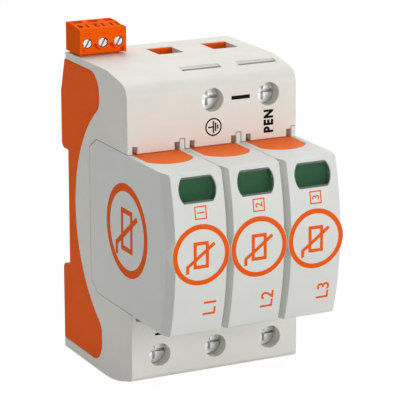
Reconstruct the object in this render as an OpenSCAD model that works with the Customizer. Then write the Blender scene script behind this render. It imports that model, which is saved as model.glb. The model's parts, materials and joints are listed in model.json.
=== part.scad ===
// Surge arrester with three plug-in poles for a 35 mm top-hat rail
// X runs along the rail, the front faces -Y and +Z is up. The origin is the middle of the rail seat.
// A depth is a distance in front of the rail seat, so it is counted along -Y.

/* [Poles] */
// Distance from one pole to the next
pitch = 17.8; // [17.4:0.1:18.6]
// Gap between neighbouring plugs
plug_gap = 0.2; // [0.1:0.05:0.4]

/* [Base] */
// Height of the top face above the upper screws
screw_cover = 8.5; // [8:0.1:14]
// Distance of the bottom face below the lower screws
screw_floor = 10.6; // [10.6:0.1:16]
// Depth of the upper front face at the top
upper_front = 41.5; // [40:0.1:44]
// How far the upper front face leans out at its lower edge
front_lean = 0.3; // [0.2:0.1:2]
// Depth of the lower front face
lower_front = 43.5; // [42:0.5:47]
// Length of the top's sloping strip behind the upper front face, along the depth
strip_d = 13.1; // [11:0.1:14]
// Fall of that strip from the top face to the upper front face
strip_fall = 2.6; // [1.6:0.1:3]
// Rounding where that strip leaves the top face
strip_r = 25; // [10:1:30]
// Rounding of the upper front corner
corner_r = 4.4; // [3:0.1:5]
// Length of the bottom's sloping strip behind the lower front face, along the depth
under_d = 12.8; // [11:0.1:14]
// Rise of that strip from the bottom face to the lower front face
under_rise = 3.8; // [2:0.1:4]
// Rounding where that strip leaves the bottom face
under_r = 45; // [20:1:60]
// Rounding of the lower front corner
under_corner_r = 1.6; // [1:0.1:3]
// How far the top face reaches behind the rail seat
top_rear = 1; // [0.5:0.1:2]
// Clearance between two moulded pieces that meet
seam = 0.15; // [0.1:0.05:0.25]

/* [Bay for the plugs] */
// Height of the bay's middle above the middle of the rail
bay_mid = 2.35; // [2:0.05:2.8]
// Height of the bay
bay_h = 46.3; // [45.5:0.1:47]
// Depth of the bay's rear wall
bay_rear = 15.5; // [15.3:0.1:16.5]
// Length of the chamfer in the bay's rear corners, along the depth
bay_chamfer_d = 4.8; // [3:0.1:6]
// Height of that chamfer
bay_chamfer_h = 3.1; // [2:0.1:3.4]
// Clearance of a plug in the bay
fit = 0.2; // [0.1:0.05:0.3]
// Width of the notches beside each plug
notch_w = 1.6; // [1:0.1:2]
// Height of the notches
notch_h = 2.1; // [1:0.1:2.6]
// Depth of the notches from the front face
notch_d = 2.7; // [1:0.1:4]
// Distance of the notches from the pole's middle
notch_x = 5.75; // [5:0.05:5.8]
// Width of the marker recesses in the top's sloping strip
marker_w = 12.4; // [8:0.1:14]
// Distance of the marker recesses' middle from the pole's middle
marker_x = 0.5; // [0:0.1:0.8]
// Distance of the marker recesses from the strip's rear edge
marker_rear = 2.9; // [2.5:0.1:3.4]
// Length of the marker recesses from front to rear
marker_gap = 2.9; // [1.6:0.1:3.4]
// How far the marker recesses go down
marker_sink = 1.3; // [0.4:0.1:1.4]
// Side of the square pocket for a marker's foot
pocket_w = 1; // [0.6:0.1:1.4]
// How far that pocket goes down
pocket_sink = 3; // [2:0.1:4]

/* [Rear housing] */
// Thickness of the grey strip above the rear housing
upper_strip = 2.2; // [1.6:0.1:2.4]
// Thickness of the grey strip below the rear housing
lower_strip = 2.9; // [2.5:0.1:3.8]
// Depth of the two lobes of its side
lobe_front = 22.7; // [22:0.1:24]
// Rounding of the lobes' outer corners
lobe_r = 6.2; // [4:0.1:7]
// Rounding where the lobes run into the waist
lobe_blend_r = 4; // [2:0.5:5]
// Thickness of the waist behind the plugs
waist_t = 4.7; // [4:0.1:5.5]
// Radius of the waist's curve
waist_r = 38.5; // [37:0.5:40]
// How far the blocks above and below the rail reach behind its seat
rear_reach = 4.7; // [4.5:0.1:6]
// Height over which the upper block's rear tapers
taper_h = 10; // [6:0.5:14]
// How far it tapers at the top
taper_d = 3; // [1:0.1:3.2]
// Rounding of the blocks' corners beside the rail
block_r = 2; // [1:0.1:2.4]
// Thickness of the lips that line the wire entries
lip_t = 1.1; // [0.8:0.1:1.3]

/* [Rail grip] */
// Height of the rail
rail_h = 35; // [34.8:0.1:35.4]
// Thickness of the rail's flanges
rail_t = 1; // [0.9:0.05:1.2]
// Play of the rail in its seat, above and below
rail_play = 0.25; // [0.15:0.05:0.4]
// How far the hooks catch behind the rail
hook_catch = 2; // [1.5:0.1:2.6]
// Width of each fixed hook
hook_w = 12; // [8:0.5:14]
// Distance of the fixed hooks' middle from the middle of the base
hook_x = 14; // [10:0.5:16]
// Width of the sliding foot
foot_w = 18; // [14:0.5:20]
// Thickness of the sliding foot
foot_t = 3; // [2.4:0.1:3.1]
// Travel of the sliding foot
foot_travel = 3.5; // [3:0.1:4]
// Clearance of the sliding foot
foot_play = 0.15; // [0.1:0.05:0.25]
// Radius of the foot's spring
spring_r = 2; // [1.6:0.1:2.1]
// Free height of the foot's spring
spring_h = 11.8; // [10:0.2:13]

/* [Terminals] */
// Distance of the terminal screws from the bay's middle
terminal_rise = 36.15; // [35.8:0.05:36.6]
// Radius of the holes over the screws
access_r = 3.35; // [3.2:0.05:3.6]
// Wall in front of the captive screw heads
collar_t = 1.8; // [1.6:0.1:3.4]
// Radius of the screw heads
head_r = 3.6; // [3.4:0.05:3.75]
// Height of the screw heads
head_h = 3; // [2:0.1:4]
// How far the heads lie behind the front face
head_sink = 4.2; // [4:0.1:6]
// Radius of the screws' shanks
screw_r = 2.5; // [2:0.1:2.6]
// Width of the screw slots
slot_w = 0.9; // [0.8:0.1:1.2]
// Depth of the screw slots
slot_d = 1.4; // [0.8:0.1:1.6]
// Side of the square wire entries
wire_w = 8; // [7:0.1:8.2]
// Depth of the wire entries' rear wall
wire_rear = 7.1; // [6.9:0.1:7.4]
// Wall of the clamp cages
cage_wall = 1.3; // [1:0.1:1.5]
// Thickness of the cages' threaded front wall
cage_nut = 2.4; // [2:0.1:3]
// Height of the cages
cage_h = 8.5; // [7:0.1:9]
// Travel of the cages
cage_travel = 6; // [4:0.5:6.5]
// Clearance of the cages in the housing
cage_play = 0.25; // [0.15:0.05:0.35]

/* [Contacts] */
// Distance of the plug contacts from the bay's middle
contact_rise = 13.65; // [13:0.05:13.9]
// Thickness of the contact bars
bar_t = 1.2; // [1:0.1:1.4]
// Width of the contact bars
bar_w = 7.2; // [5:0.1:7.4]
// Depth of the contact bars' rear face
bar_rear = 6.8; // [6.5:0.1:7]
// Thickness of the clips' spring leaves
leaf_t = 1; // [0.6:0.1:1.2]
// Clearance between a leaf and a blade
leaf_gap = 0.06; // [0.04:0.01:0.1]
// Thickness of the plugs' blades
blade_t = 1.5; // [1.2:0.1:1.6]
// Height of the plugs' blades
blade_h = 7; // [6:0.1:7.2]
// Clearance round the inner pieces
slack = 0.15; // [0.1:0.05:0.2]

/* [Plugs] */
// Depth of the crown of the plugs' front
front_reach = 69.9; // [69:0.1:73]
// Radius of the plugs' front, seen from the side
front_r = 75; // [70:1:85]
// Width of the bevel along the front's sides
bevel_w = 1; // [0.4:0.1:1.2]
// Length of that bevel along the depth
bevel_d = 4; // [2:0.5:5]
// Rounding of the front's upper and lower edges
edge_r = 1; // [0.4:0.1:1.5]
// Height of the round pad's middle above the bay's middle
pad_rise = 0.65; // [0:0.05:1.5]
// Side walls of the shell
shell_wall = 1.2; // [1:0.1:1.3]
// Front wall of the shell
front_wall = 1.8; // [1.5:0.1:2.2]
// Top wall of the shell
top_wall = 0.9; // [0.8:0.05:1]
// Diameter of the window's round sides
window_w = 11.4; // [10:0.1:11.8]
// Height of the window
window_h = 7.2; // [6:0.1:7.4]
// How far the window lies behind the front
window_sink = 0.3; // [0.2:0.1:0.8]
// Thickness of the window
window_t = 1; // [0.8:0.1:1.2]
// Width of the orange insert
insert_w = 14.4; // [12:0.1:14.4]
// Depth of the orange insert's front
insert_front = 55.1; // [52:0.1:57]
// Radius of the orange insert's front
insert_r = 8; // [7.4:0.1:12]
// Clearance round the orange insert
insert_gap = 0.12; // [0.08:0.02:0.2]
// Width of the guide key on the plug's top
key_w = 1.4; // [1:0.1:1.4]
// Height of the guide key
key_h = 3; // [2:0.1:3.4]
// Thickness of the rear plate
plate_t = 2; // [1.5:0.1:2.5]
// Side of the square varistor
varistor_w = 32; // [28:0.5:33]
// Thickness of the varistor
varistor_t = 5; // [4:0.1:5]
// Depth of the varistor's rear edge
varistor_rear = 24; // [23:0.5:25]
// Travel of the status flag
flag_travel = 7.8; // [7.6:0.1:9]
// Thickness of the status flag
flag_t = 0.8; // [0.6:0.1:0.9]

/* [Signalling plug] */
// Distance between its screws
signal_pitch = 4.9; // [4.8:0.05:5.1]
// Depth of its front face
signal_front = 9.2; // [9:0.1:10]
// How far it reaches behind the rail seat
signal_rear = 0.8; // [0.6:0.1:1.2]
// Height of its body
signal_h = 8.3; // [8:0.1:9]
// Gap below its body
signal_lift = 0.6; // [0.4:0.1:1]
// Height of its screws above the underside
signal_screw_h = 3.3; // [3.1:0.05:3.5]
// Drop of its sloping top towards the front
signal_slope = 0.9; // [0.3:0.1:1.4]
// Thickness of its end walls
signal_end = 0.8; // [0.5:0.1:1]
// Angle of the slots in its screws at rest
signal_turn = 60; // [0:5:90]
// Width of its tongue
signal_tongue_w = 12.6; // [12:0.1:13]
// Length of its tongue
signal_tongue_h = 7; // [6:0.1:8]

/* [Hidden] */
$fn = 48;
POLES = [1, 2, 3];
UPPER_POLES = [2, 3];
WAYS = [1, 2, 3];
UPPER = 1;
LOWER = -1;
far = 200;

// Widths
half_w = (len(POLES) * pitch - plug_gap) / 2;
plug_half = (pitch - plug_gap) / 2;
function pole_x(n) = (n - 2) * pitch;

// Heights of the base, which follow its terminals
screw_z = bay_mid + terminal_rise;
top_h = screw_z + screw_cover;
bottom_h = terminal_rise - bay_mid + screw_floor;

// Bay and plug outline
bay_top = bay_mid + bay_h / 2;
bay_bottom = bay_mid - bay_h / 2;
plug_top = bay_top - fit;
plug_bottom = bay_bottom + fit;
plug_rear = bay_rear + fit;

// Upper front face, which leans out towards its lower edge
face_top = top_h - strip_fall;
lean_angle = atan(front_lean / (face_top - bay_top));
strip_angle = atan(strip_fall / strip_d);
under_angle = atan(under_rise / under_d);
function upper_depth(z) = upper_front + front_lean * (face_top - z) / (face_top - bay_top);
function direction(angle) = [cos(angle), sin(angle)];

// Rear housing
rear_top = top_h - upper_strip;
rear_bottom = lower_strip - bottom_h;
waist_centre = [-(waist_t + waist_r), bay_mid];
blend_d = lobe_front - lobe_blend_r;
blend_rise = sqrt(pow(waist_r + lobe_blend_r, 2) - pow(waist_t + waist_r - blend_d, 2));
blend_angle = atan2(blend_rise, waist_t + waist_r - blend_d);
recess_h = rail_h + 2 * rail_play;
grip_gap = rail_t + 0.3;
hook_tip = rail_h / 2 - hook_catch;
hook_chamfer = 0.7;

// Sliding foot and its spring
foot_rear = grip_gap + foot_play + foot_t;
foot_bottom = bottom_h - 0.4;
flange_w = 1.4;
flange_t = 1.15;
flange_top = recess_h / 2 + 1.3;
flange_h = -rear_bottom - flange_top - foot_travel - 2;
lug_h = 1.8;
spring_wire = 0.3;
spring_turns = 6;
spring_y = grip_gap - spring_r - 0.7;
spring_floor = 3.5;
spring_top = -rear_bottom - spring_floor - spring_h;
lug_top = spring_top - 0.1 - lug_h;
lug_half = spring_r + 0.3;
pull_slot = [6, 2.4];

// Terminals, as depths along the screw
cage_half = wire_w / 2 + 0.1 + cage_wall;
cage_in_rear = wire_rear - 0.2;
cage_rear = cage_in_rear - cage_wall;
tongue_rear = wire_rear + wire_w + 0.1;
tongue_front = tongue_rear + bar_t;
cage_in_front = tongue_front + 0.9;
cage_front = cage_in_front + cage_nut;
screw_end = tongue_front + 0.4;
screw_play = 0.1;
thread_play = 0.05;
head_play = 0.2;
cross_w = 5;
function front_of(side) = side == UPPER ? upper_depth(screw_z) : lower_front;
function head_front(side) = front_of(side) - head_sink;
function head_seat(side) = head_front(side) - head_h;

// Contacts
contact_z = bay_mid + contact_rise;
bar_front = bar_rear + bar_t;
jog_z = bay_top + 1.2;
tongue_top = screw_z + cage_h / 2 - 0.5;
link_z = [contact_z + blade_h / 2 + 1, bay_top - 0.4];
leaf_front = bay_rear - 0.9;
leaf_in = blade_t / 2 + leaf_gap;
leaf_out = leaf_in + leaf_t;
leaf_h = blade_h - 1;
blade_tip = bar_front + 0.4;

// Plugs
wheel_d = front_reach - front_r;
slip = 0.1;
root = shell_wall / 2;
key_front = upper_depth(bay_top) - slip;
pad_r = plug_half - 0.05;
pad_z = bay_mid + pad_rise;
cavity_half = plug_half - shell_wall;
cavity_top = plug_top - top_wall;
cavity_bottom = plug_bottom + shell_wall;
plate_top = cavity_top - bay_chamfer_h - slip;
plate_bottom = cavity_bottom + bay_chamfer_h + slip;
window_z = cavity_top - window_h / 2;
window_tilt = asin((window_z - bay_mid) / front_r);
window_chamfer = 0.5;
insert_rear = 38;
insert_flange = 0.3;
flag_top = cavity_top - 2 * slip;
flag_bottom = flag_top - window_h - 2.4;
flag_half = window_w / 2 + 0.5;
flag_front = front_depth(cavity_top) - front_wall - 0.5;
flag_rear = flag_front - flag_t;
guide_t = 1;
guide_d = [flag_rear - guide_t, flag_front];
field_front = guide_d[0] - slip;
field_t = 0.8;
stem_h = 1.6;
stem_in = 1.6;
stem_w = 2.8;
stem_x = [stem_in - cavity_half, stem_in + stem_w - cavity_half];
coil_r = 1.3;
coil_wire = 0.25;
coil_turns = 10;
coil_x = (stem_x[0] + stem_x[1]) / 2;
coil_clear = 3.6;
coil_d = varistor_rear + varistor_w + coil_clear;
stem_rear = coil_d - coil_r;
coil_top = flag_bottom - slip / 2;
coil_drop = 12.6;
coil_bottom = bay_mid - coil_drop;
peg_h = 1.2;
peg_half = 0.8;
blade_play = 0.05;
varistor_x = blade_t / 2 + blade_play;
varistor_r = 4;
arm_t = 1;
arm_jog = varistor_rear - 2;
arm_reach = 10;
function front_depth(z) = wheel_d + sqrt(front_r * front_r - pow(z - bay_mid, 2));

// Signalling plug
signal_w = len(WAYS) * signal_pitch;
signal_x = signal_w / 2 + 0.2 - half_w;
signal_bottom = top_h + signal_lift;
signal_top = signal_bottom + signal_h;
signal_screw_z = signal_bottom + signal_screw_h;
signal_break = 3.2;
signal_step = 1;
signal_step_drop = 0.3;
signal_boss_r = 2.05;
signal_head_r = 1.25;
signal_hole_r = 1.45;
signal_head_h = 1;
signal_head_front = signal_front - 0.3;
signal_slot_w = 0.7;
signal_slot_d = 0.6;
signal_shank_r = 0.95;
small_wall = 0.45;
small_half = 1.6;
small_h = 3.4;
small_play = 0.1;
small_wire_rear = 0.7;
small_in_rear = small_wire_rear - 0.1;
small_tongue = [3.25, 3.75];
small_in_front = small_tongue[1] + 0.35;
small_nut = 1.2;
small_front = small_in_front + small_nut;
small_travel = 1.6;
small_entry_half = 1.4;
signal_mark_w = 1.8;
signal_mark_h = 0.5;
signal_mark_rise = 2.5;
signal_mark_d = 0.15;
signal_tongue_d = [1, 6.2];
signal_tongue_bottom = signal_bottom - signal_tongue_h;
contact_half = 1.2;
contact_bottom = signal_tongue_bottom + 2.5;
pin_r = 0.5;
pin_d = 4.5;
pin_hole_r = 0.75;
pin_rise = 5;
pin_root = 1;
header_h = 9;
header_bottom = signal_tongue_bottom - header_h - fit;
header_top = header_bottom + header_h;
switch_d = [10, 20];
switch_h = 9;
switch_z = [header_bottom, header_bottom + switch_h];
function way_x(n) = signal_x + (n - 2) * signal_pitch;

function numbered(name, list) = [for (n = list) str(name, "_", n)];

light_grey = [0.87, 0.87, 0.83];
orange = [0.95, 0.36, 0.06];
steel = [0.75, 0.76, 0.78];
copper = [0.78, 0.48, 0.28];
spring_steel = [0.6, 0.61, 0.63];

// Block between two X values, two depths and two heights
module block(x, d, z) {
    translate([x[0], -d[1], z[0]]) cube([x[1] - x[0], d[1] - d[0], z[1] - z[0]]);
}

// Round rod along the depth, between two depths
module rod(x, d, z, r) {
    translate([x, -d[0], z]) rotate([90, 0, 0]) cylinder(h = d[1] - d[0], r = r);
}

// A side outline, drawn in Y and Z, made solid across the width
module across(half) {
    translate([-half, 0, 0]) rotate([90, 0, 90]) linear_extrude(2 * half) children();
}

// A front outline, drawn in X and Z, made solid between two depths
module deep(d) {
    translate([0, -d[0], 0]) rotate([90, 0, 0]) linear_extrude(d[1] - d[0]) children();
}

// Upper pieces as they are, lower ones mirrored about the bay's middle
module on_side(side) {
    if (side == UPPER) children();
    else translate([0, 0, 2 * bay_mid]) mirror([0, 0, 1]) children();
}

// What a rounded corner takes away, between the directions of its two edges' normals
module corner_waste(centre, r, a, b) {
    translate(centre) difference() {
        polygon([[0, 0], 1.5 * r * direction(a), 2 * r * direction((a + b) / 2), 1.5 * r * direction(b)]);
        circle(r);
    }
}

// What rounding an outline's corner takes away there
module round_off(corner, r, a, b) {
    corner_waste(corner - r * (direction(a) + direction(b)) / (1 + cos(b - a)), r, a, b);
}

// Coil spring standing along Z
module coil(r, wire, turns, z) {
    sides = 6;
    steps = 14;
    count = turns * steps;
    rise = z[1] - z[0] - 2 * wire;
    points = [
        for (i = [0 : count], j = [0 : sides - 1])
            let (t = 360 * i / steps, s = 360 * j / sides, reach = r - wire + wire * cos(s))
            [reach * cos(t), reach * sin(t), z[0] + wire + rise * i / count + wire * sin(s)]
    ];
    walls = [
        for (i = [0 : count - 1], j = [0 : sides - 1], half = [0, 1])
            let (k = (j + 1) % sides, a = i * sides, b = a + sides)
            half == 0 ? [a + j, a + k, b + k] : [a + j, b + k, b + j]
    ];
    ends = [
        [for (j = [sides - 1 : -1 : 0]) j],
        [for (j = [0 : sides - 1]) count * sides + j]
    ];
    polyhedron(points, concat(walls, ends), convexity = turns);
}

// Outline of the whole base without the bay
module base_outline() {
    upper_edge = [-upper_front, face_top];
    upper_break = [strip_d - upper_front, top_h];
    lower_edge = [-lower_front, under_rise - bottom_h];
    lower_break = [under_d - lower_front, -bottom_h];
    difference() {
        polygon([
            [-upper_depth(bay_top), bay_top],
            upper_edge,
            upper_break,
            [top_rear, top_h],
            [top_rear, 0],
            [rear_reach, 0],
            [rear_reach, -bottom_h],
            lower_break,
            lower_edge,
            [-lower_front, bay_bottom]
        ]);
        round_off(upper_break, strip_r, 90, 90 + strip_angle);
        round_off(upper_edge, corner_r, 90 + strip_angle, 180 - lean_angle);
        round_off(lower_edge, under_corner_r, 180, 270 - under_angle);
        round_off(lower_break, under_r, 270 - under_angle, 270);
    }
}

// Outline of the bay, open to the front, or of a plug that is smaller by inset all round
module bay_outline(inset) {
    rear = bay_rear + inset;
    high = bay_top - inset;
    low = bay_bottom + inset;
    polygon([
        [-far, low],
        [-rear - bay_chamfer_d, low],
        [-rear, low + bay_chamfer_h],
        [-rear, high - bay_chamfer_h],
        [-rear - bay_chamfer_d, high],
        [-far, high]
    ]);
}

// Everything behind the S-shaped front edge of the rear housing
module rear_region(grow) {
    front = -lobe_front - grow;
    r = lobe_r + grow;
    difference() {
        translate([front, rear_bottom - grow])
            square([far - front, rear_top - rear_bottom + 2 * grow]);
        corner_waste([front + r, rear_top + grow - r], r, 90, 180);
        corner_waste([front + r, rear_bottom - grow + r], r, 180, 270);
        translate(waist_centre) circle(waist_r - grow, $fn = 96);
        corner_waste([-blend_d, bay_mid + blend_rise], lobe_blend_r + grow, 180, 180 + blend_angle);
        corner_waste([-blend_d, bay_mid - blend_rise], lobe_blend_r + grow, 180, 180 - blend_angle);
    }
}

// Side outline of the rear housing
module rear_outline() {
    inner = rear_reach - block_r;
    difference() {
        rear_region(0);
        translate([rear_reach, -far]) square([far, 2 * far]);
        translate([0, -recess_h / 2]) square([far, recess_h]);
        polygon([
            [rear_reach, rear_top - taper_h],
            [far, rear_top - taper_h],
            [far, rear_top + taper_h],
            [rear_reach - 2 * taper_d, rear_top + taper_h]
        ]);
        corner_waste([inner, recess_h / 2 + block_r], block_r, 270, 360);
        corner_waste([inner, -recess_h / 2 - block_r], block_r, 0, 90);
    }
}

// Room for one terminal: cage, wire entry, screw and the hole over its head
module terminal_space(n, side) {
    x = pole_x(n);
    half = cage_half + cage_play;
    tall = cage_h / 2 + cage_play;
    entry = wire_w / 2;
    on_side(side) {
        block([x - half, x + half], [cage_rear - cage_play, cage_front + cage_travel + cage_play],
            [screw_z - tall, screw_z + tall]);
        block([x - entry, x + entry], [wire_rear, wire_rear + wire_w], [screw_z, far]);
        rod(x, [cage_front, far], screw_z, screw_r + screw_play);
        rod(x, [head_seat(side), far], screw_z, access_r);
        rod(x, [head_seat(side), front_of(side) - collar_t], screw_z, head_r + head_play);
    }
}

// Room for one contact bar, its clip and its tongue
module contact_space(n, side, tongue = true) {
    x = pole_x(n);
    half = bar_w / 2 + slack;
    mouth = leaf_out + 2 * slack;
    low = contact_z - leaf_h / 2 - slack;
    on_side(side) {
        block([x - half, x + half], [bar_rear - slack, bar_front + slack], [low, jog_z + bar_t + slack]);
        block([x - mouth, x + mouth], [bar_rear, bay_rear + 1],
            [contact_z - blade_h / 2 - slack, contact_z + blade_h / 2 + slack]);
        if (tongue) {
            block([x - half, x + half], [bar_rear - slack, tongue_front + slack],
                [jog_z - slack, jog_z + bar_t + slack]);
            block([x - half, x + half], [tongue_rear - slack, tongue_front + slack],
                [jog_z - slack, screw_z]);
        }
    }
}

// Room for the link that joins the three upper clips
module link_space() {
    end = pole_x(3) + bar_w / 2 + slack;
    block([-end, end], [bar_rear - slack, bar_front + slack], [link_z[0] - slack, link_z[1] + slack]);
}

// Room for the signalling header and the switch behind it
module signal_space() {
    half = signal_tongue_w / 2 + fit;
    block([signal_x - half, signal_x + half], [signal_tongue_d[0] - fit, signal_tongue_d[1] + fit],
        [header_bottom - slack, far]);
    block([signal_x - half, signal_x + half], [switch_d[0] - slack, switch_d[1] + slack],
        [switch_z[0] - slack, switch_z[1] + slack]);
}

// All the inner room that both housings share
module inner_space() {
    for (n = POLES) {
        terminal_space(n, LOWER);
        contact_space(n, LOWER);
        contact_space(n, UPPER, n != POLES[0]);
    }
    for (n = UPPER_POLES) terminal_space(n, UPPER);
    link_space();
    signal_space();
}

// Slot in which a foot of the given outline slides, larger by play
module foot_outline(play) {
    half = foot_w / 2 + play;
    flange = half + flange_w;
    polygon([
        [-half, grip_gap + foot_play - play],
        [-flange, grip_gap + foot_play - play],
        [-flange, grip_gap + foot_play + flange_t + play],
        [-half, grip_gap + foot_play + flange_t + play],
        [-half, foot_rear + play + (play > 0 ? far : 0)],
        [half, foot_rear + play + (play > 0 ? far : 0)],
        [half, grip_gap + foot_play + flange_t + play],
        [flange, grip_gap + foot_play + flange_t + play],
        [flange, grip_gap + foot_play - play],
        [half, grip_gap + foot_play - play]
    ]);
}

// Recess for a pole's marker, sunk in the top's sloping strip, with a pocket for its foot
module marker_recess(n) {
    end = marker_w / 2;
    front = marker_rear + marker_gap;
    translate([pole_x(n) + marker_x, strip_d - upper_front, top_h]) rotate([strip_angle, 0, 0]) {
        block([-end, end], [marker_rear, front], [-marker_sink, pocket_sink]);
        block([end - 1.5 * pocket_w, end - 0.5 * pocket_w], [front - pocket_w, front], [-pocket_sink, 0]);
    }
}

// Lips of the rear housing that line the rear of the wire entries
module wire_lip(n, side, grow) {
    half = wire_w / 2 + grow;
    edge = side == UPPER ? top_h : 2 * bay_mid + bottom_h;
    root = side == UPPER ? rear_top : 2 * bay_mid - rear_bottom;
    on_side(side)
        block([pole_x(n) - half, pole_x(n) + half], [wire_rear - lip_t - grow, wire_rear],
            [root - 1, edge - 0.1 + grow]);
}

module front_housing() color(light_grey) difference() {
    across(half_w) difference() {
        base_outline();
        rear_region(seam);
        bay_outline(0);
    }
    inner_space();
    for (n = POLES) {
        wire_lip(n, LOWER, seam);
        translate([pole_x(n), 0, 0]) {
            block([plug_half - key_w - fit, plug_half + fit], [plug_rear + bay_chamfer_d, far],
                [bay_mid, plug_top + key_h + fit]);
            for (x = [-notch_x - notch_w, notch_x]) {
                block([x, x + notch_w], [upper_front - notch_d, far], [bay_mid, bay_top + notch_h]);
                block([x, x + notch_w], [lower_front - notch_d, far], [bay_bottom - notch_h, bay_mid]);
            }
        }
    }
    for (n = UPPER_POLES) {
        wire_lip(n, UPPER, seam);
        marker_recess(n);
    }
    block([-foot_w / 2 - foot_play, foot_w / 2 + foot_play], [-far, -grip_gap], [-far, rear_bottom]);
}

module rear_housing() color(orange) {
    difference() {
        union() {
            across(half_w) rear_outline();
            for (n = POLES) wire_lip(n, LOWER, 0);
            for (n = UPPER_POLES) wire_lip(n, UPPER, 0);
        }
        inner_space();
        translate([0, 0, rear_bottom - 1]) linear_extrude(-flange_top + 1 - rear_bottom + 1)
            foot_outline(foot_play);
        block([-foot_w / 2 - foot_play, foot_w / 2 + foot_play], [-far, -grip_gap],
            [-flange_top - 1, -recess_h / 2 + 1]);
        block([-lug_half - foot_play, lug_half + foot_play], [-grip_gap, spring_r + 0.2 - spring_y],
            [-spring_top - spring_h - 0.1, 0.3 - lug_top]);
    }
    for (x = [-hook_x, hook_x])
        translate([x, 0, 0]) across(hook_w / 2) polygon([
            [grip_gap, recess_h / 2 + 0.5],
            [grip_gap, hook_tip + hook_chamfer],
            [grip_gap + hook_chamfer, hook_tip],
            [rear_reach - block_r, hook_tip],
            [rear_reach - block_r, recess_h / 2 + 0.5]
        ]);
}

module rail_foot() color(orange) difference() {
    union() {
        block([-foot_w / 2, foot_w / 2], [-foot_rear, -grip_gap - foot_play], [-foot_bottom, -hook_tip]);
        translate([0, 0, -flange_top - flange_h]) linear_extrude(flange_h) foot_outline(0);
        block([-lug_half, lug_half], [-grip_gap - foot_play - 1, spring_r - spring_y],
            [-lug_top - lug_h, -lug_top]);
    }
    across(foot_w) polygon([
        [foot_rear - 0.4 * foot_t, 1 - hook_tip],
        [foot_rear + 1, 1 - hook_tip],
        [foot_rear + 1, -recess_h / 2 - 1],
        [foot_rear, -recess_h / 2 - 1],
        [foot_rear - 0.4 * foot_t, -hook_tip]
    ]);
    block([-pull_slot[0] / 2, pull_slot[0] / 2], [-far, far],
        [1 - foot_bottom, 1 - foot_bottom + pull_slot[1]]);
}

module foot_spring() color(spring_steel)
    translate([0, spring_y, 0])
        coil(spring_r, spring_wire, spring_turns, [-spring_top - spring_h, -spring_top]);

// Spring clip with its strip, and a tongue for the clamp where the pole has a terminal
module contact_bar(n, tongue = true) {
    x = pole_x(n);
    half = bar_w / 2;
    leaf_z = [contact_z - leaf_h / 2, contact_z + leaf_h / 2];
    strip_top = tongue ? jog_z + bar_t : link_z[1];
    block([x - half, x + half], [bar_rear, bar_front], [leaf_z[0], strip_top]);
    block([x - leaf_out, x - leaf_in], [bar_rear, leaf_front], leaf_z);
    block([x + leaf_in, x + leaf_out], [bar_rear, leaf_front], leaf_z);
    if (tongue) {
        block([x - half, x + half], [bar_rear, tongue_front], [jog_z, jog_z + bar_t]);
        block([x - half, x + half], [tongue_rear, tongue_front], [jog_z, tongue_top]);
    }
}

module common_bar() color(copper) {
    for (n = POLES) contact_bar(n, n != POLES[0]);
    block([pole_x(1), pole_x(3)], [bar_rear, bar_front], link_z);
}

module line_bar(n) color(copper) on_side(LOWER) contact_bar(n);

// Screw with a combined slot and cross
module terminal_screw(n, side) color(steel) on_side(side) {
    x = pole_x(n);
    face = head_front(side);
    difference() {
        union() {
            rod(x, [head_seat(side), face], screw_z, head_r);
            rod(x, [screw_end, head_seat(side) + 1], screw_z, screw_r);
        }
        block([x - far, x + far], [face - slot_d, far], [screw_z - slot_w / 2, screw_z + slot_w / 2]);
        block([x - slot_w / 2, x + slot_w / 2], [face - slot_d, far],
            [screw_z - cross_w / 2, screw_z + cross_w / 2]);
    }
}

// Lift cage that the screw draws towards the front
module terminal_clamp(n, side) color(steel) on_side(side) {
    x = pole_x(n);
    inside = cage_half - cage_wall;
    difference() {
        block([x - cage_half, x + cage_half], [cage_rear, cage_front],
            [screw_z - cage_h / 2, screw_z + cage_h / 2]);
        block([x - inside, x + inside], [cage_in_rear, cage_in_front], [0, far]);
        rod(x, [cage_in_rear, far], screw_z, screw_r + thread_play);
    }
}

module signal_header() color([0.13, 0.13, 0.14]) {
    half = signal_tongue_w / 2;
    block([signal_x - half, signal_x + half], signal_tongue_d, [header_bottom, header_top]);
    for (n = WAYS)
        translate([way_x(n), -pin_d, header_top - pin_root])
            cylinder(h = pin_root + fit + pin_rise, r = pin_r);
}

module signal_switch() color([0.2, 0.2, 0.22]) {
    half = signal_tongue_w / 2;
    plunger = [2.4, 1.6];
    difference() {
        block([signal_x - half, signal_x + half], switch_d, switch_z);
        block([signal_x - plunger[0], signal_x + plunger[0]], [switch_d[1] - plunger[1], far],
            [switch_z[1] - plunger[1], far]);
    }
}

// Body of the signalling plug: between its end walls the front is set back round the screw bosses
module signal_plug_body() color(orange) difference() {
    half = signal_w / 2;
    inner = half - signal_end;
    edge = signal_top - signal_slope;
    union() {
        difference() {
            translate([signal_x, 0, 0]) across(half) polygon([
                [signal_rear, signal_bottom],
                [signal_rear, signal_top],
                [-signal_break, signal_top],
                [-signal_front, edge],
                [-signal_front, signal_bottom]
            ]);
            block([signal_x - inner, signal_x + inner], [signal_front - signal_step, far],
                [0, signal_screw_z - signal_step_drop]);
            block([signal_x + inner, far], [-far, far], [edge, far]);
        }
        for (n = WAYS)
            rod(way_x(n), [signal_front - 2 * signal_step, signal_front], signal_screw_z, signal_boss_r);
        block([signal_x - signal_tongue_w / 2, signal_x + signal_tongue_w / 2], signal_tongue_d,
            [signal_tongue_bottom, signal_bottom + 1]);
    }
    for (n = WAYS) {
        signal_way_space(n);
        translate([way_x(n), 0, signal_screw_z + signal_mark_rise])
            block([-signal_mark_w / 2, signal_mark_w / 2], [signal_front - signal_mark_d, far],
                [0, signal_mark_h]);
    }
}

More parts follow.
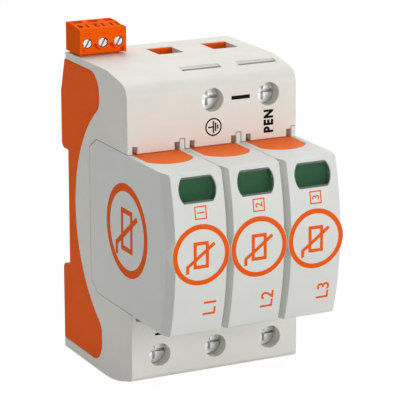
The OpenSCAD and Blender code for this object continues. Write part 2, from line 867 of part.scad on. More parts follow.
// Room for one way of the signalling plug: clamp, screw, wire, contact and pin
module signal_way_space(n) {
    x = way_x(n);
    half = small_half + small_wall + small_play;
    tall = small_h / 2 + small_play;
    rear = small_in_rear - small_wall - small_play;
    block([x - half, x + half], [rear, small_front + small_travel + small_play],
        [signal_screw_z - tall, signal_screw_z + tall]);
    block([x - small_entry_half, x + small_entry_half], [small_wire_rear, signal_break - 0.05],
        [signal_screw_z, far]);
    rod(x, [small_front, far], signal_screw_z, signal_shank_r + thread_play);
    rod(x, [signal_head_front - signal_head_h, far], signal_screw_z, signal_hole_r);
    block([x - contact_half - small_play, x + contact_half + small_play],
        [small_tongue[0] - small_play, small_tongue[1] + small_play],
        [contact_bottom - small_play, signal_screw_z]);
    translate([x, -pin_d, signal_tongue_bottom - 1]) cylinder(h = 1 + pin_rise + fit, r = pin_hole_r);
}

module signal_contacts() color(copper)
    for (n = WAYS)
        block([way_x(n) - contact_half, way_x(n) + contact_half], small_tongue,
            [contact_bottom, signal_screw_z + small_h / 2 - 0.4]);

module signal_screw(n) color(steel) {
    x = way_x(n);
    difference() {
        union() {
            rod(x, [signal_head_front - signal_head_h, signal_head_front], signal_screw_z, signal_head_r);
            rod(x, [small_tongue[1] + 0.1, signal_head_front - 0.5], signal_screw_z, signal_shank_r);
        }
        translate([x, 0, signal_screw_z]) rotate([0, -signal_turn, 0])
            block([-far, far], [signal_head_front - signal_slot_d, far],
                [-signal_slot_w / 2, signal_slot_w / 2]);
    }
}

module signal_clamp(n) color(steel) {
    x = way_x(n);
    half = small_half + small_wall;
    difference() {
        block([x - half, x + half], [small_in_rear - small_wall, small_front],
            [signal_screw_z - small_h / 2, signal_screw_z + small_h / 2]);
        block([x - small_half, x + small_half], [small_in_rear, small_in_front], [0, far]);
        rod(x, [small_in_rear, far], signal_screw_z, signal_shank_r + thread_play);
    }
}

// Solid round the axis of the plugs' curved front, with bevelled rims
module front_wheel(r, half, rim_w, rim_d) {
    translate([0, -wheel_d, bay_mid]) rotate([0, 90, 0])
        rotate_extrude($fn = 180) polygon([
            [0, -half], [r - rim_d, -half], [r, rim_w - half],
            [r, half - rim_w], [r - rim_d, half], [0, half]
        ]);
}

// Side outline of a plug with its front edges rounded
module plug_outline() {
    inner_r = front_r - edge_r;
    upper = plug_top - edge_r;
    lower = plug_bottom + edge_r;
    upper_angle = asin((upper - bay_mid) / inner_r);
    lower_angle = asin((lower - bay_mid) / inner_r);
    difference() {
        bay_outline(fit);
        corner_waste([-wheel_d - inner_r * cos(upper_angle), upper], edge_r, 90, 180 - upper_angle);
        corner_waste([-wheel_d - inner_r * cos(lower_angle), lower], edge_r, 180 - lower_angle, 270);
    }
}

// Side outline of the room inside a plug, open to the rear
module cavity_outline() {
    slope = bay_chamfer_h / bay_chamfer_d;
    open_d = plug_rear - 1;
    drop = slope * (plug_rear + bay_chamfer_d - open_d);
    polygon([
        [-far, cavity_bottom],
        [-plug_rear - bay_chamfer_d, cavity_bottom],
        [-open_d, cavity_bottom + drop],
        [-open_d, cavity_top - drop],
        [-plug_rear - bay_chamfer_d, cavity_top],
        [-far, cavity_top]
    ]);
}

// Outline of the orange insert in a plug's top, drawn in X and Y
module insert_outline(grow) {
    half = insert_w / 2 + grow;
    centre = insert_r - insert_front;
    translate([-half, centre]) square([2 * half, -centre - insert_rear + grow]);
    intersection() {
        translate([0, centre]) circle(insert_r + grow);
        translate([-half, -far]) square([2 * half, far]);
    }
}

// Outline of the window, drawn in X and Z
module window_outline(grow) {
    intersection() {
        circle(window_w / 2 + grow);
        square([window_w + 1, window_h + 2 * grow], center = true);
    }
}

// Puts what is drawn about the origin on the plug's front, square to its curve at the window
module at_window() {
    translate([0, -front_depth(window_z), window_z]) rotate([-window_tilt, 0, 0]) children();
}

module plug_shell(n) color(light_grey) translate([pole_x(n), 0, 0]) {
    difference() {
        union() {
            intersection() {
                across(plug_half) plug_outline();
                front_wheel(front_r, plug_half, bevel_w, bevel_d);
            }
            intersection() {
                rod(0, [front_reach / 2, far], pad_z, pad_r);
                front_wheel(front_r, plug_half, 0, bevel_d);
            }
            block([plug_half - key_w, plug_half], [plug_rear + bay_chamfer_d + 1, key_front],
                [cavity_top, plug_top + key_h]);
        }
        intersection() {
            across(cavity_half) cavity_outline();
            front_wheel(front_r - front_wall, cavity_half, 0, bevel_d);
        }
        at_window() deep([-front_wall - 1, far]) window_outline(0);
        translate([0, 0, cavity_top - 1]) linear_extrude(far) insert_outline(0);
    }
    for (side = [0, 1])
        mirror([side, 0, 0])
            block([flag_half + fit, cavity_half + root], guide_d,
                [flag_bottom - flag_travel, cavity_top + root]);
    block([-cavity_half - root, coil_x + coil_r], [coil_d - peg_half, coil_d + peg_half],
        [coil_bottom - peg_h - slip, coil_bottom - slip]);
}

module plug_plate(n) color(light_grey) translate([pole_x(n), 0, 0]) difference() {
    half = cavity_half - slip;
    blade = blade_t / 2 + blade_play;
    tall = blade_h / 2 + blade_play;
    block([-half, half], [plug_rear, plug_rear + plate_t], [plate_bottom, plate_top]);
    for (side = [UPPER, LOWER])
        on_side(side) block([-blade, blade], [0, far], [contact_z - tall, contact_z + tall]);
}

module plug_insert(n) color(orange) translate([pole_x(n), 0, 0]) {
    flange_z = [cavity_top - 1, cavity_top - slip];
    translate([0, 0, flange_z[0]]) linear_extrude(plug_top - flange_z[0]) insert_outline(-insert_gap);
    translate([0, 0, flange_z[0]]) linear_extrude(flange_z[1] - flange_z[0])
        insert_outline(insert_flange - insert_gap);
}

module window(n) color([0.75, 0.85, 0.8, 0.4]) translate([pole_x(n), 0, 0]) {
    inside = window_sink + window_t;
    edge = window_sink + window_chamfer;
    high = window_h / 2;
    at_window() intersection() {
        deep([-inside, -window_sink]) window_outline(-slip);
        across(window_w) polygon([
            [inside, -high],
            [inside, high],
            [edge, high],
            [window_sink, high - window_chamfer],
            [window_sink, window_chamfer - high],
            [edge, -high]
        ]);
    }
}

module status_flag(n) color([0.12, 0.42, 0.22]) translate([pole_x(n), 0, 0]) {
    block([-flag_half, flag_half], [flag_rear, flag_front], [flag_bottom, flag_top]);
    block(stem_x, [stem_rear, flag_front], [flag_bottom, flag_bottom + stem_h]);
}

module fault_field(n) color([0.75, 0.1, 0.08]) translate([pole_x(n), 0, 0]) {
    half = cavity_half - slip;
    block([-half, half], [field_front - field_t, field_front],
        [flag_bottom + stem_h + 3 * slip, cavity_top - slip]);
}

module flag_spring(n) color(spring_steel) translate([pole_x(n) + coil_x, -coil_d, 0])
    coil(coil_r, coil_wire, coil_turns, [coil_bottom, coil_top]);

module varistor(n) color([0.12, 0.2, 0.4])
    translate([pole_x(n) + varistor_x + varistor_t / 2, -varistor_rear - varistor_w / 2, bay_mid])
        across(varistor_t / 2) difference() {
            square(varistor_w, center = true);
            for (turn = [0 : 90 : 270]) {
                inner = varistor_w / 2 - varistor_r;
                rotate(turn) corner_waste([inner, inner], varistor_r, 0, 90);
            }
        }

module upper_blade(n) color(copper) translate([pole_x(n), 0, 0])
    block([-blade_t / 2, blade_t / 2], [blade_tip, varistor_rear + arm_reach],
        [contact_z - blade_h / 2, contact_z + blade_h / 2]);

module lower_blade(n) color(copper) translate([pole_x(n), 0, 0]) on_side(LOWER) {
    z = [contact_z - blade_h / 2, contact_z + blade_h / 2];
    arm_x = varistor_x + varistor_t + blade_play;
    block([-blade_t / 2, blade_t / 2], [blade_tip, arm_jog], z);
    block([-blade_t / 2, arm_x + arm_t], [arm_jog - blade_t, arm_jog], z);
    block([arm_x, arm_x + arm_t], [arm_jog - blade_t, varistor_rear + arm_reach], z);
}

front_housing();
rear_housing();
rail_foot();
foot_spring();
common_bar();
signal_header();
signal_switch();
signal_plug_body();
signal_contacts();
for (n = UPPER_POLES) {
    terminal_screw(n, UPPER);
    terminal_clamp(n, UPPER);
}
for (n = WAYS) {
    signal_screw(n);
    signal_clamp(n);
}
for (n = POLES) {
    line_bar(n);
    terminal_screw(n, LOWER);
    terminal_clamp(n, LOWER);
    plug_shell(n);
    plug_plate(n);
    plug_insert(n);
    window(n);
    status_flag(n);
    fault_field(n);
    flag_spring(n);
    varistor(n);
    upper_blade(n);
    lower_blade(n);
}
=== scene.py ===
"""Finish of a rail-mounted surge arrester with three plug-in poles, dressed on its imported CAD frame.

Lengths are in metres in the frame's own axes: X along the rail, front towards -Y, +Z up.
"""

import json
import math

import bmesh
import bpy
from mathutils import Matrix, Vector


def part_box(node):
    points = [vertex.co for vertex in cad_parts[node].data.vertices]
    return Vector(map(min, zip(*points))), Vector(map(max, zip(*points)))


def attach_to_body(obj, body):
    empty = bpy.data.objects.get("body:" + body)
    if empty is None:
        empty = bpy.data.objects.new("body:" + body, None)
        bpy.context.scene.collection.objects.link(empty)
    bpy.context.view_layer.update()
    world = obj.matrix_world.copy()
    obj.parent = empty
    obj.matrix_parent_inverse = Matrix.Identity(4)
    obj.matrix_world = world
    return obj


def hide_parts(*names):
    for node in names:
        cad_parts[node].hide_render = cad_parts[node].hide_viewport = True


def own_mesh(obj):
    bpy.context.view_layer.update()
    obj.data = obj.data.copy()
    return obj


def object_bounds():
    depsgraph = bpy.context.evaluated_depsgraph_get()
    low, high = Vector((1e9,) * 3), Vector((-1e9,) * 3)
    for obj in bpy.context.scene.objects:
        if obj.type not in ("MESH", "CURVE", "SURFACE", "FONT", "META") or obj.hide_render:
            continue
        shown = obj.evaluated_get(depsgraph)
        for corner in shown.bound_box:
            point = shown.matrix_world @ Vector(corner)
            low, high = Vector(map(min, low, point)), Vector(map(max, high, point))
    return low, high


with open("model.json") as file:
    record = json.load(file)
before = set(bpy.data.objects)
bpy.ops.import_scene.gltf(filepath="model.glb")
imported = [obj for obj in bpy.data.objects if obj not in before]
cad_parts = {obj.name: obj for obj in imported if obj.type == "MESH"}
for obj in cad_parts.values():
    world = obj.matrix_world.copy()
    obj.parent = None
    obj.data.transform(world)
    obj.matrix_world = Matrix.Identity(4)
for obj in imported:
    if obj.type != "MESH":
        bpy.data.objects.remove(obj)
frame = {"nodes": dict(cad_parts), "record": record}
cad_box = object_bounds()

MM = 0.001
POLES = (1, 2, 3)
UPPER_POLES = (2, 3)
WAYS = (1, 2, 3)

# Camera of the photograph
CAMERA_AT = Vector((-279.90, -592.80, 178.30)) * MM
CAMERA_TARGET = Vector((5.419, -22.712, 4.061)) * MM
CAMERA_LENS = 202.7
CAMERA_SENSOR = 36.0

# Stage: the point that the lamps look at, the floor's half width and its gap below the object
LAMP_TARGET = Vector((0, -30, 0)) * MM
FLOOR_HALF = 6.0
FLOOR_GAP = 0.05 * MM

# Fineness of the meshes; vertices nearer than the merge distance become one
MERGE_DISTANCE = 1e-7
COIL_STEPS = 28
WIRE_SIDES = 10
RING_STEPS = 120
BAND_STEPS = 6

# Print: its thickness, the height of its middle above the face, and a capital's share of the font size
FILM = 0.03 * MM
PRINT_LIFT = 0.012 * MM
CAP_SHARE = 0.69

# Lines that look for a face start this far outside, and run in one of these directions
OUTSIDE = 1.0
LEFT, RIGHT = (-1, 0, 0), (1, 0, 0)
REARWARD, DOWN = (0, 1, 0), (0, 0, -1)

# Faces that carry print, as the CAD has them
FRONT_RADIUS = 75 * MM
plug_mid = sum((corner.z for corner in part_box("varistor_2")), 0.0) / 2
crown_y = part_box("plug_shell_2")[0].y
lower_face_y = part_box("front_housing")[0].y
left_side_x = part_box("plug_shell_1")[0].x


def middle_x(node):
    """Middle of a CAD node along the rail."""
    low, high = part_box(node)
    return (low.x + high.x) / 2


# Materials


def display(red, green, blue):
    """Colour written as it shows on a screen, 0 to 255, turned into linear light."""
    def linear(value):
        share = value / 255
        return share / 12.92 if share <= 0.04045 else ((share + 0.055) / 1.055) ** 2.4
    return (linear(red), linear(green), linear(blue), 1.0)


def shaded(colour, share):
    """The same colour, darker or lighter."""
    return tuple(min(1.0, channel * share) for channel in colour[:3]) + (1.0,)


def blank_material(name):
    """New material with its node tree and its shader."""
    material = bpy.data.materials.new(name)
    material.use_nodes = True
    tree = material.node_tree
    return material, tree, tree.nodes["Principled BSDF"]


def noise(tree, scale, detail, stretch=(1.0, 1.0, 1.0)):
    """Noise on object coordinates; stretch squeezes it along the axes."""
    coords = tree.nodes.new("ShaderNodeTexCoord")
    mapping = tree.nodes.new("ShaderNodeMapping")
    mapping.inputs["Scale"].default_value = stretch
    texture = tree.nodes.new("ShaderNodeTexNoise")
    texture.inputs["Scale"].default_value = scale
    texture.inputs["Detail"].default_value = detail
    tree.links.new(coords.outputs["Object"], mapping.inputs["Vector"])
    tree.links.new(mapping.outputs["Vector"], texture.inputs["Vector"])
    return texture.outputs["Fac"]


def spread(tree, factor, low, high):
    """Map a noise value, which mostly lies between 0.3 and 0.7, to low..high."""
    ranged = tree.nodes.new("ShaderNodeMapRange")
    ranged.inputs["From Min"].default_value = 0.3
    ranged.inputs["From Max"].default_value = 0.7
    ranged.inputs["To Min"].default_value = low
    ranged.inputs["To Max"].default_value = high
    tree.links.new(factor, ranged.inputs["Value"])
    return ranged.outputs["Result"]


def vary_colour(tree, shader, factor, colour, low, high):
    """Let a noise value lead the base colour from a low to a high share of one colour."""
    mixed = tree.nodes.new("ShaderNodeMix")
    mixed.data_type = "RGBA"
    mixed.inputs["A"].default_value = shaded(colour, low)
    mixed.inputs["B"].default_value = shaded(colour, high)
    tree.links.new(spread(tree, factor, 0, 1), mixed.inputs["Factor"])
    tree.links.new(mixed.outputs["Result"], shader.inputs["Base Color"])


def vary_roughness(tree, shader, factor, low, high):
    """Let a noise value lead the roughness from low to high."""
    tree.links.new(spread(tree, factor, low, high), shader.inputs["Roughness"])


def bump(tree, shader, height, strength, distance, normal=None):
    """Raise the surface by a noise value, on top of another normal where one is given."""
    raised = tree.nodes.new("ShaderNodeBump")
    raised.inputs["Strength"].default_value = strength
    raised.inputs["Distance"].default_value = distance
    tree.links.new(height, raised.inputs["Height"])
    if normal is not None:
        tree.links.new(normal, raised.inputs["Normal"])
    tree.links.new(raised.outputs["Normal"], shader.inputs["Normal"])


def moulded_plastic(name, colour, roughness, gloss=0.25):
    """Satin moulding with a spark-eroded grain, faint flow clouds and soft edges."""
    material, tree, shader = blank_material(name)
    clouds = noise(tree, scale=90, detail=3)
    patches = noise(tree, scale=700, detail=3)
    grain = noise(tree, scale=5200, detail=2)
    softened = tree.nodes.new("ShaderNodeBevel")
    softened.samples = 4
    softened.inputs["Radius"].default_value = 0.25 * MM
    vary_colour(tree, shader, clouds, colour, low=0.975, high=1.02)
    vary_roughness(tree, shader, patches, low=roughness - 0.05, high=roughness + 0.05)
    bump(tree, shader, grain, strength=0.18, distance=0.02 * MM, normal=softened.outputs["Normal"])
    shader.inputs["Specular IOR Level"].default_value = gloss
    return material


def plated_steel(name, colour, roughness):
    """Zinc-plated steel with turning marks and a faint passivation tint."""
    material, tree, shader = blank_material(name)
    tint = noise(tree, scale=350, detail=3)
    marks = noise(tree, scale=1200, detail=2, stretch=(1.0, 8.0, 1.0))
    vary_colour(tree, shader, tint, colour, low=0.9, high=1.08)
    vary_roughness(tree, shader, marks, low=roughness - 0.06, high=roughness + 0.06)
    bump(tree, shader, marks, strength=0.08, distance=0.02 * MM)
    shader.inputs["Metallic"].default_value = 1.0
    return material


def tinned_metal(name, colour):
    """Stamped contact metal with rolling lines along its length."""
    material, tree, shader = blank_material(name)
    lines = noise(tree, scale=900, detail=4, stretch=(1.0, 0.15, 6.0))
    vary_colour(tree, shader, lines, colour, low=0.88, high=1.06)
    vary_roughness(tree, shader, lines, low=0.22, high=0.4)
    bump(tree, shader, lines, strength=0.2, distance=0.02 * MM)
    shader.inputs["Metallic"].default_value = 1.0
    return material


def clear_window(name):
    """Clear polycarbonate with a slight waviness."""
    material, tree, shader = blank_material(name)
    waves = noise(tree, scale=260, detail=1)
    haze = noise(tree, scale=900, detail=2)
    vary_roughness(tree, shader, haze, low=0.02, high=0.08)
    bump(tree, shader, waves, strength=0.05, distance=0.1 * MM)
    shader.inputs["Base Color"].default_value = (0.72, 0.78, 0.74, 1.0)
    shader.inputs["Transmission Weight"].default_value = 1.0
    shader.inputs["IOR"].default_value = 1.3
    shader.inputs["Specular Tint"].default_value = (0.12, 0.12, 0.12, 1.0)
    return material


def ink(name, colour, gloss=0.06):
    """Pad-printed ink: a thin film with uneven cover."""
    material, tree, shader = blank_material(name)
    cover = noise(tree, scale=2600, detail=3)
    vary_colour(tree, shader, cover, colour, low=0.93, high=1.05)
    vary_roughness(tree, shader, cover, low=0.5, high=0.66)
    bump(tree, shader, cover, strength=0.1, distance=0.01 * MM)
    shader.inputs["Specular IOR Level"].default_value = gloss
    return material


GREY = display(236, 234, 225)
PLUG_GREY = display(230, 231, 225)
ORANGE = display(255, 98, 4)
INSERT_ORANGE = display(255, 114, 36)
housing_grey = moulded_plastic("housing_grey", GREY, roughness=0.48)
plug_grey = moulded_plastic("plug_grey", PLUG_GREY, roughness=0.46)
housing_orange = moulded_plastic("housing_orange", ORANGE, roughness=0.56, gloss=0.06)
signal_orange = moulded_plastic("signal_orange", ORANGE, roughness=0.6, gloss=0.02)
insert_orange = moulded_plastic("insert_orange", INSERT_ORANGE, roughness=0.5, gloss=0.08)
# painted shade: the marker plates' grey is the housing grey darkened for the shade in their recesses
marker_grey_recess_shade = moulded_plastic("marker_grey_recess_shade", display(214, 215, 208), roughness=0.5)
signal_black = moulded_plastic("signal_black", display(38, 38, 40), roughness=0.5)
flag_green = moulded_plastic("flag_green", display(36, 106, 62), roughness=0.4)
fault_red = moulded_plastic("fault_red", display(232, 40, 30), roughness=0.4)
varistor_blue = moulded_plastic("varistor_blue", display(36, 58, 120), roughness=0.3)
screw_steel = plated_steel("screw_steel", (0.80, 0.81, 0.82, 1.0), roughness=0.46)
small_screw_steel = plated_steel("small_screw_steel", (0.42, 0.44, 0.48, 1.0), roughness=0.38)
clamp_steel = plated_steel("clamp_steel", (0.70, 0.69, 0.66, 1.0), roughness=0.36)
spring_steel = plated_steel("spring_steel", (0.62, 0.63, 0.65, 1.0), roughness=0.25)
contact_metal = tinned_metal("contact_metal", (0.78, 0.60, 0.44, 1.0))
window_clear = clear_window("window_clear")
# painted shade: an opaque mid grey laid on the window bevels for the shade that falls on them
window_bevel_shade = moulded_plastic("window_bevel_shade", display(142, 144, 138), roughness=0.4)
orange_ink = ink("orange_ink", display(248, 100, 20))
black_ink = ink("black_ink", display(16, 14, 14))
figure_brown = ink("figure_brown", display(152, 46, 4), gloss=0.0)

FINISHES = {
    "housing_grey": housing_grey,
    "plug_grey": plug_grey,
    "housing_orange": housing_orange,
    "signal_black": signal_black,
    "flag_green": flag_green,
    "fault_red": fault_red,
    "varistor_blue": varistor_blue,
    "screw_steel": screw_steel,
    "clamp_steel": clamp_steel,
    "spring_steel": spring_steel,
    "contact_metal": contact_metal,
    "window_clear": window_clear,
}
OWN_FINISHES = {"signal_plug_body": signal_orange}
for n in POLES:
    OWN_FINISHES[f"plug_insert_{n}"] = insert_orange
for n in WAYS:
    OWN_FINISHES[f"signal_screw_{n}"] = small_screw_steel


def dress_cad_nodes():
    """Give every node of the frame its own finish or that of its slot."""
    slot_of = {row["node"]: row["material_slot"] for row in frame["record"]["subparts"]}
    for name, node in frame["nodes"].items():
        node.data.materials.clear()
        node.data.materials.append(OWN_FINISHES.get(name, FINISHES[slot_of[name]]))


# Geometry node trees


def node_group(name, numbers):
    """Empty geometry tree with the named number inputs and an input for the finish."""
    group = bpy.data.node_groups.new(name, "GeometryNodeTree")
    for label, value in numbers.items():
        socket = group.interface.new_socket(label, in_out="INPUT", socket_type="NodeSocketFloat")
        socket.default_value = value
    group.interface.new_socket("Finish", in_out="INPUT", socket_type="NodeSocketMaterial")
    group.interface.new_socket("Geometry", in_out="OUTPUT", socket_type="NodeSocketGeometry")
    return group, group.nodes.new("NodeGroupInput"), group.nodes.new("NodeGroupOutput")


def finish_tree(group, geometry, source, sink, smooth=False):
    """End a tree in flat or smooth shading, Realize Instances and Set Material."""
    shading = group.nodes.new("GeometryNodeSetShadeSmooth")
    shading.inputs["Shade Smooth"].default_value = smooth
    realize = group.nodes.new("GeometryNodeRealizeInstances")
    paint = group.nodes.new("GeometryNodeSetMaterial")
    group.links.new(geometry, shading.inputs["Geometry"])
    group.links.new(shading.outputs["Geometry"], realize.inputs["Geometry"])
    group.links.new(realize.outputs["Geometry"], paint.inputs["Geometry"])
    group.links.new(source.outputs["Finish"], paint.inputs["Material"])
    group.links.new(paint.outputs["Geometry"], sink.inputs["Geometry"])


def coil_tree():
    """Wire wound round Z, from height 0 upwards."""
    group, source, sink = node_group("wound_wire", {
        "Turns": 6.0,
        "Mean Radius": 2 * MM,
        "Height": 12 * MM,
        "Wire Radius": 0.3 * MM,
    })
    spiral = group.nodes.new("GeometryNodeCurveSpiral")
    spiral.inputs["Resolution"].default_value = COIL_STEPS
    section = group.nodes.new("GeometryNodeCurvePrimitiveCircle")
    section.inputs["Resolution"].default_value = WIRE_SIDES
    sweep = group.nodes.new("GeometryNodeCurveToMesh")
    sweep.inputs["Fill Caps"].default_value = True
    group.links.new(source.outputs["Turns"], spiral.inputs["Rotations"])
    group.links.new(source.outputs["Mean Radius"], spiral.inputs["Start Radius"])
    group.links.new(source.outputs["Mean Radius"], spiral.inputs["End Radius"])
    group.links.new(source.outputs["Height"], spiral.inputs["Height"])
    group.links.new(source.outputs["Wire Radius"], section.inputs["Radius"])
    group.links.new(spiral.outputs["Curve"], sweep.inputs["Curve"])
    group.links.new(section.outputs["Curve"], sweep.inputs["Profile Curve"])
    finish_tree(group, sweep.outputs["Mesh"], source, sink, smooth=True)
    return group


def ring_tree():
    """Flat printed ring round Z with a square-edged section."""
    group, source, sink = node_group("printed_ring", {
        "Outer Radius": 8 * MM,
        "Band": 1.4 * MM,
        "Film": FILM,
    })
    half_band = group.nodes.new("ShaderNodeMath")
    half_band.operation = "MULTIPLY"
    half_band.inputs[1].default_value = 0.5
    middle = group.nodes.new("ShaderNodeMath")
    middle.operation = "SUBTRACT"
    circle = group.nodes.new("GeometryNodeCurvePrimitiveCircle")
    circle.inputs["Resolution"].default_value = RING_STEPS
    section = group.nodes.new("GeometryNodeCurvePrimitiveQuadrilateral")
    sweep = group.nodes.new("GeometryNodeCurveToMesh")
    group.links.new(source.outputs["Band"], half_band.inputs[0])
    group.links.new(source.outputs["Outer Radius"], middle.inputs[0])
    group.links.new(half_band.outputs[0], middle.inputs[1])
    group.links.new(middle.outputs[0], circle.inputs["Radius"])
    group.links.new(source.outputs["Band"], section.inputs["Width"])
    group.links.new(source.outputs["Film"], section.inputs["Height"])
    group.links.new(circle.outputs["Curve"], sweep.inputs["Curve"])
    group.links.new(section.outputs["Curve"], sweep.inputs["Profile Curve"])
    finish_tree(group, sweep.outputs["Mesh"], source, sink)
    return group


rings = ring_tree()
coils = coil_tree()


# Making and placing a piece


def kept_mesh(name, holder):
    """Turn an evaluated object into a plain mesh object of the given name, and drop the holder."""
    bpy.context.view_layer.update()
    graph = bpy.context.evaluated_depsgraph_get()
    mesh = bpy.data.meshes.new_from_object(holder.evaluated_get(graph), depsgraph=graph)
    bpy.data.objects.remove(holder)
    mesh.name = name
    piece = bpy.data.objects.new(name, mesh)
    bpy.context.scene.collection.objects.link(piece)
    return piece


def grown(name, group, values):
    """Evaluate a geometry tree with these inputs and keep the result as a plain mesh object."""
    holder = bpy.data.objects.new(name + "_seed", bpy.data.meshes.new(name + "_seed"))
    bpy.context.scene.collection.objects.link(holder)
    modifier = holder.modifiers.new("tree", "NODES")
    modifier.node_group = group
    identifiers = {item.name: item.identifier for item in group.interface.items_tree
                   if item.item_type == "SOCKET" and item.in_out == "INPUT"}
    for label, value in values.items():
        modifier[identifiers[label]] = value
    return kept_mesh(name, holder)


def mesh_piece(name, shape, finish):
    """Turn a bmesh into an object with one finish."""
    mesh = bpy.data.meshes.new(name)
    shape.to_mesh(mesh)
    shape.free()
    mesh.materials.append(finish)
    piece = bpy.data.objects.new(name, mesh)
    bpy.context.scene.collection.objects.link(piece)
    return piece


def outward(piece):
    """Merge doubles and point every face outwards."""
    shape = bmesh.new()
    shape.from_mesh(piece.data)
    bmesh.ops.remove_doubles(shape, verts=shape.verts, dist=MERGE_DISTANCE)
    bmesh.ops.recalc_face_normals(shape, faces=shape.faces)
    shape.to_mesh(piece.data)
    shape.free()


def attach(piece, body):
    """Let a piece move with a body."""
    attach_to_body(piece, body)


# Faces on which a flat drawing in (right, up) is laid


def first_hit(node, start, towards):
    """Place where a straight line from start first meets a CAD node."""
    thing = frame["nodes"][node]
    inside = thing.matrix_world.inverted()
    found, place, _, _ = thing.ray_cast(inside @ Vector(start), inside.to_3x3() @ Vector(towards))
    if not found:
        raise ValueError(f"nothing of {node} in that direction")
    return thing.matrix_world @ place


def flat_face(node, first, second, towards):
    """Flat face that two straight lines meet. The drawing's up runs from the first place to the second."""
    origin = first_hit(node, first, towards)
    rise = (first_hit(node, second, towards) - origin).normalized()
    outside = Vector(RIGHT).cross(rise)
    def lay(right, up, lift):
        return Vector((right, origin.y, origin.z)) + up * rise + lift * outside
    return lay


def on_plug_front(n):
    """Curved front of plug n. The drawing's origin is the pole's middle at the bay's middle height."""
    centre_x = middle_x(f"plug_shell_{n}")
    def lay(right, up, lift):
        drop = FRONT_RADIUS - math.sqrt(FRONT_RADIUS ** 2 - up ** 2)
        return Vector((centre_x + right, crown_y + drop - lift, plug_mid + up))
    return lay


def on_lower_front(right, up, lift):
    """Front of the base below the plugs."""
    return Vector((right, lower_face_y - lift, up))


def on_left_side(right, up, lift):
    """Left side of the first plug. The drawing's right is towards the front."""
    return Vector((left_side_x - lift, -right, up))


def laid(piece, lay, place=(0.0, 0.0), turn=0.0, films_below=0):
    """Lay a flat drawing, made in X and Y with its film along Z, on a face or on an earlier film."""
    turned = Matrix.Rotation(math.radians(turn), 2)
    for vertex in piece.data.vertices:
        flat = turned @ vertex.co.xy
        lift = vertex.co.z + PRINT_LIFT + films_below * FILM
        vertex.co = lay(flat.x + place[0], flat.y + place[1], lift)
    outward(piece)
    return piece


# Flat drawings


def rectangle(half_width, half_height):
    """Corners of a rectangle round the origin."""
    return [(-half_width, -half_height), (half_width, -half_height),
            (half_width, half_height), (-half_width, half_height)]


def mitre(before, after):
    """Sideways step, for a band of half width 1, at a corner between two directions."""
    left = Vector((-before.y, before.x))
    right = Vector((-after.y, after.x))
    return (left + right) / (1 + left.dot(right))


def printed_band(name, points, finish, width, closed=False):
    """Flat band of even width along straight lines, mitred at corners, in steps to follow a curved face."""
    points = [Vector(point) for point in points]
    count = len(points) if closed else len(points) - 1
    shape = bmesh.new()
    rows = []
    for i in range(count):
        start, end = points[i], points[(i + 1) % len(points)]
        along = (end - start).normalized()
        before = (start - points[i - 1]).normalized() if closed or i > 0 else along
        after = (points[(i + 2) % len(points)] - end).normalized() if closed or i < count - 1 else along
        for step in range(0 if i == 0 and not closed else 1, BAND_STEPS + 1):
            sideways = mitre(before if step == 0 else along, after if step == BAND_STEPS else along)
            middle = start.lerp(end, step / BAND_STEPS)
            rows.append([shape.verts.new((*(middle + sideways * side * width / 2), level * FILM / 2))
                         for side, level in rectangle(1, 1)])
    pairs = list(zip(rows, rows[1:]))
    if closed:
        pairs.append((rows[-1], rows[0]))
    else:
        shape.faces.new(rows[0])
        shape.faces.new(rows[-1][::-1])
    for near, away in pairs:
        for i in range(4):
            j = (i + 1) % 4
            shape.faces.new((near[i], away[i], away[j], near[j]))
    return mesh_piece(name, shape, finish)


def printed_ring(name, finish, radius, band):
    """Flat ring with the given outer radius and width."""
    return grown(name, rings, {"Outer Radius": radius, "Band": band, "Film": FILM, "Finish": finish})


def printed_words(name, words, finish, cap_height, weight, length=None):
    """Plain letters or figures, centred, with the given height of a capital and length of the whole."""
    curve = bpy.data.curves.new(name + "_letters", "FONT")
    curve.body = words
    curve.size = cap_height / CAP_SHARE
    curve.offset = weight
    curve.space_character = 1.0 + 3 * weight / cap_height
    curve.extrude = FILM / 2
    curve.resolution_u = 6
    holder = bpy.data.objects.new(name + "_letters", curve)
    bpy.context.scene.collection.objects.link(holder)
    piece = kept_mesh(name, holder)
    corners = [vertex.co.xy for vertex in piece.data.vertices]
    low = Vector((min(c.x for c in corners), min(c.y for c in corners), 0))
    high = Vector((max(c.x for c in corners), max(c.y for c in corners), 0))
    stretch = length / (high.x - low.x) if length else 1.0
    piece.data.transform(Matrix.Diagonal((stretch, 1, 1, 1)) @ Matrix.Translation(-(low + high) / 2))
    piece.data.materials.clear()
    piece.data.materials.append(finish)
    return piece


# Print of the object


def varistor_sign(name, lay, place, body, size, stroke):
    """Plain circuit sign of a varistor: a box and, printed over it, a bent slanting line."""
    half_width, half_height = 0.28 * size, 0.5 * size
    reach, rise, foot = 0.62 * size, 0.45 * size, 0.3 * size
    outline = rectangle(half_width, half_height)
    box = printed_band(name + "_box", outline, orange_ink, stroke, closed=True)
    attach(laid(box, lay, place), body)
    bent = [(-reach, -rise - foot), (-reach, -rise), (reach, rise)]
    slant = printed_band(name + "_slant", bent, orange_ink, stroke)
    attach(laid(slant, lay, place, films_below=1), body)


